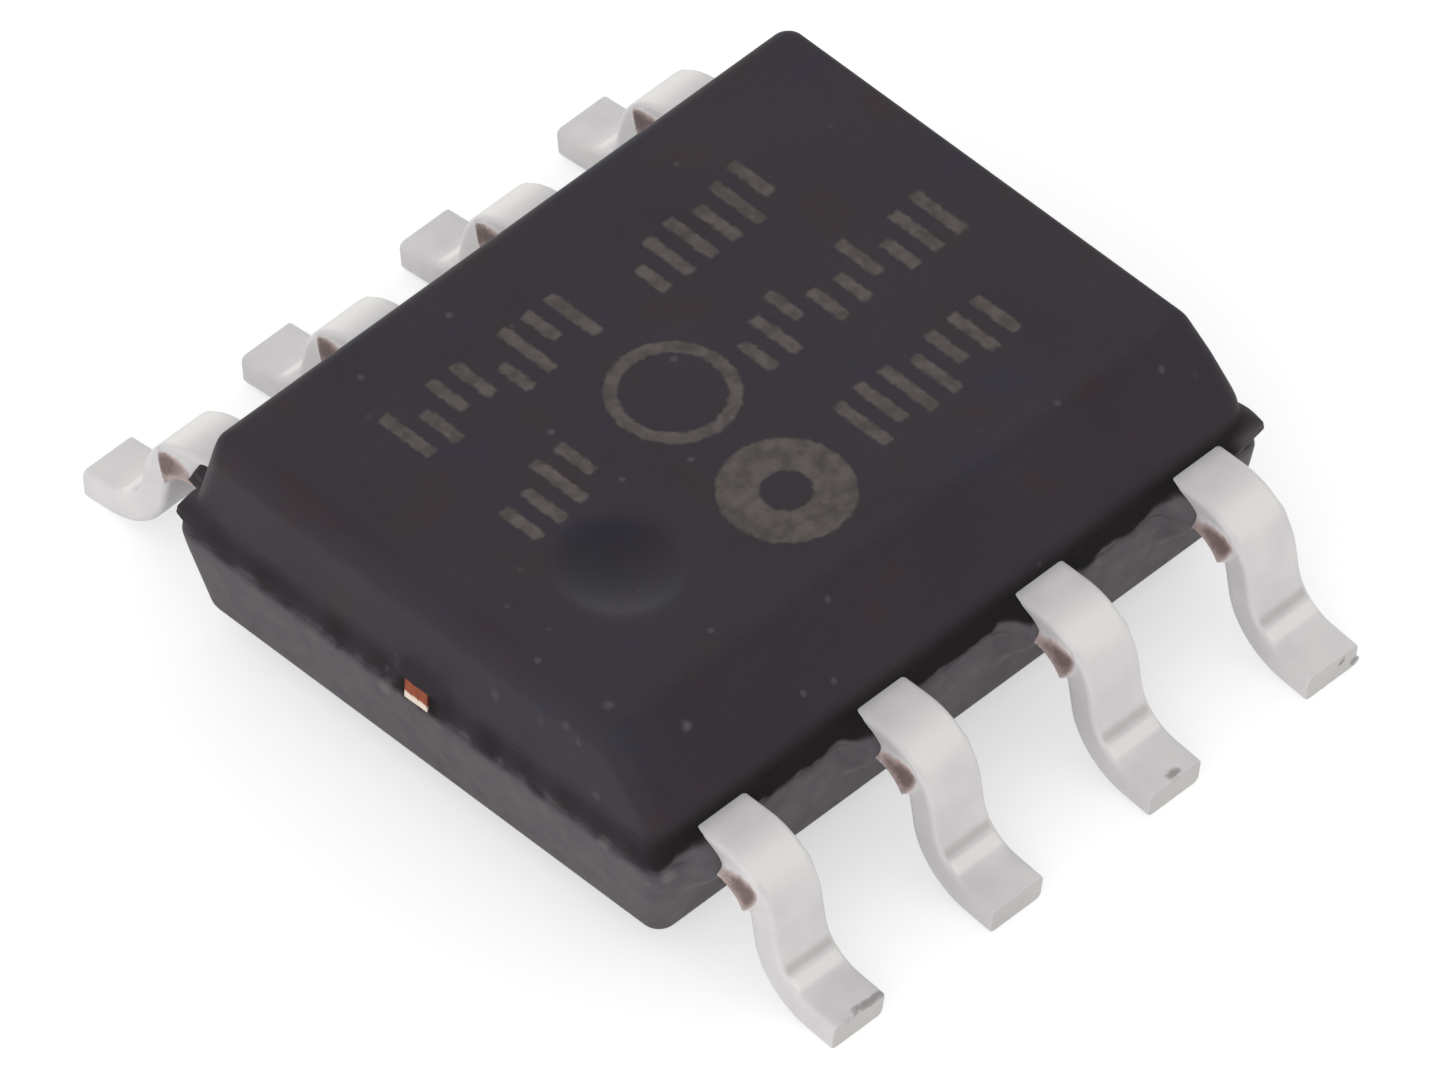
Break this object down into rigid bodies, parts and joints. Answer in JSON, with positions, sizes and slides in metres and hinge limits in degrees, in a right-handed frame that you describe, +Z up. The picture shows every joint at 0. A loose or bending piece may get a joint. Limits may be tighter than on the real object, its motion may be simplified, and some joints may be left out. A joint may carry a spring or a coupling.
{
  "type": "voltage regulator",
  "caption": "Surface-mount voltage regulator: a flat black moulded body with a bevelled long edge and a dimple, and tin-plated gull-wing leads along both long sides.",
  "frame": {"origin": "middle of the footprint, on the plane that the toes stand on", "axes": "+X along the body from leads 1 and 8 towards leads 4 and 5, +Y across the body towards leads 5 to 8, +Z up"},
  "size_m": [0.005, 0.006, 0.0016],
  "materials": {
    "mould": "fine matte",
    "tin": "matte tin plate",
    "copper": "cut copper",
    "die_attach": "matte",
    "silicon": "polished",
    "gold": "drawn wire"
  },
  "bodies": {
    "root": {"mould_body": "mould", "lead_1": "tin", "lead_2": "tin", "lead_3": "tin", "lead_4": "tin", "lead_5": "tin", "lead_6": "tin", "lead_7": "tin", "lead_8": "tin", "die_paddle": "copper", "die_attach": "die_attach", "regulator_die": "silicon", "bond_wire_output": "gold", "bond_wire_ground": "gold", "bond_wire_bypass": "gold", "bond_wire_shutdown": "gold", "bond_wire_supply": "gold"}
  },
  "joints": []
}
